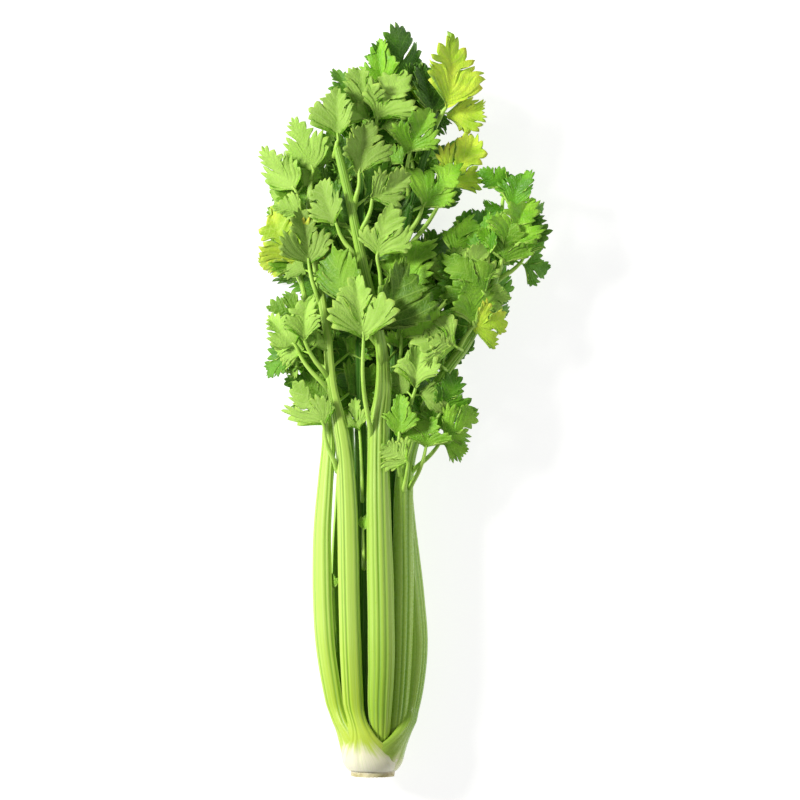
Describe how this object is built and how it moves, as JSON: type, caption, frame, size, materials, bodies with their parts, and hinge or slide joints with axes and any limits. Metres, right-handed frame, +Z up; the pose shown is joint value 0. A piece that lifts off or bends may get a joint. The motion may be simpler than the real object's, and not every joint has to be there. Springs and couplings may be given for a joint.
{
  "type": "head of celery",
  "caption": "Whole head of celery lying down: bowed ribbed stalks on a white cut crown, with long leafy tops of three-lobed toothed leaves.",
  "frame": {"origin": "on the surface it lies on, under the middle of its bounding box", "axes": "+Y along the head from the cut crown to the leaf tips, +Z up from the surface, +X across"},
  "size_m": [0.1904, 0.513, 0.0782],
  "materials": {
    "crown_white": "matt, damp white cut stem, slightly browned on the cut face",
    "stalk_green": "satin ribbed skin, pale at the foot and deeper green above",
    "heart_stalk": "satin ribbed skin, yellow-green",
    "leaf_pale_underside": "matt pale underside with raised veins",
    "leaf_green": "satin mid-green leaf",
    "leaf_dark": "glossy dark green leaf",
    "leaf_yellow_green": "satin yellow-green leaf with yellow edges"
  },
  "bodies": {
    "root": {"crown": "crown_white", "stalk_front_centre": "stalk_green", "stalk_front_left": "stalk_green", "stalk_left_outer": "stalk_green", "stalk_right_inner": "stalk_green", "stalk_right_outer": "stalk_green", "stalk_back_left": "stalk_green", "stalk_back": "stalk_green", "stalk_back_right": "stalk_green", "heart_stalk_left": "heart_stalk", "heart_stalk_right": "heart_stalk", "heart_stalk_back": "heart_stalk", "leaf_front_three_part": "leaf_pale_underside", "leaf_front_olive": "leaf_green", "leaf_front_small": "leaf_pale_underside", "leaf_front_right_pointing": "leaf_pale_underside", "leaf_front_upper": "leaf_pale_underside", "leaf_front_end": "leaf_pale_underside", "leaf_front_left_side": "leaf_pale_underside", "leaf_front_left_mid": "leaf_green", "leaf_low_right_round": "leaf_pale_underside", "leaf_low_right_up": "leaf_yellow_green", "leaf_low_right_fan": "leaf_green", "leaf_low_right_point": "leaf_green", "leaf_low_right_dark": "leaf_dark", "leaf_mid_right_pale": "leaf_pale_underside", "leaf_mid_right_wide": "leaf_green", "leaf_branch_lower": "leaf_yellow_green", "leaf_branch_dark": "leaf_dark", "leaf_branch_pale": "leaf_pale_underside", "leaf_branch_inner": "leaf_dark", "leaf_branch_side": "leaf_green", "leaf_branch_outer": "leaf_dark", "leaf_branch_end": "leaf_dark", "leaf_branch_left_pointing": "leaf_dark", "leaf_gap_pale": "leaf_pale_underside", "leaf_gap_wide": "leaf_green", "leaf_gap_end": "leaf_green", "leaf_top_right_broad": "leaf_green", "leaf_top_right_yellow": "leaf_yellow_green", "leaf_top_frilled": "leaf_yellow_green", "leaf_top_folded": "leaf_dark", "leaf_top_mid": "leaf_green", "leaf_top_shaded": "leaf_dark", "leaf_top_veined": "leaf_pale_underside", "leaf_top_slim": "leaf_pale_underside", "leaf_top_left_dark": "leaf_dark", "leaf_top_back": "leaf_green", "leaf_top_tip": "leaf_dark", "leaf_left_upper": "leaf_pale_underside", "leaf_left_far": "leaf_pale_underside", "leaf_left_low_pale": "leaf_pale_underside", "leaf_left_narrow": "leaf_pale_underside", "leaf_left_yellow": "leaf_yellow_green", "leaf_left_pair_outer": "leaf_pale_underside", "leaf_left_pair_inner": "leaf_pale_underside", "leaf_left_drooping": "leaf_dark", "leaf_left_lowest": "leaf_pale_underside", "leaf_under_left": "leaf_dark", "leaf_under_right": "leaf_dark"}
  },
  "joints": []
}
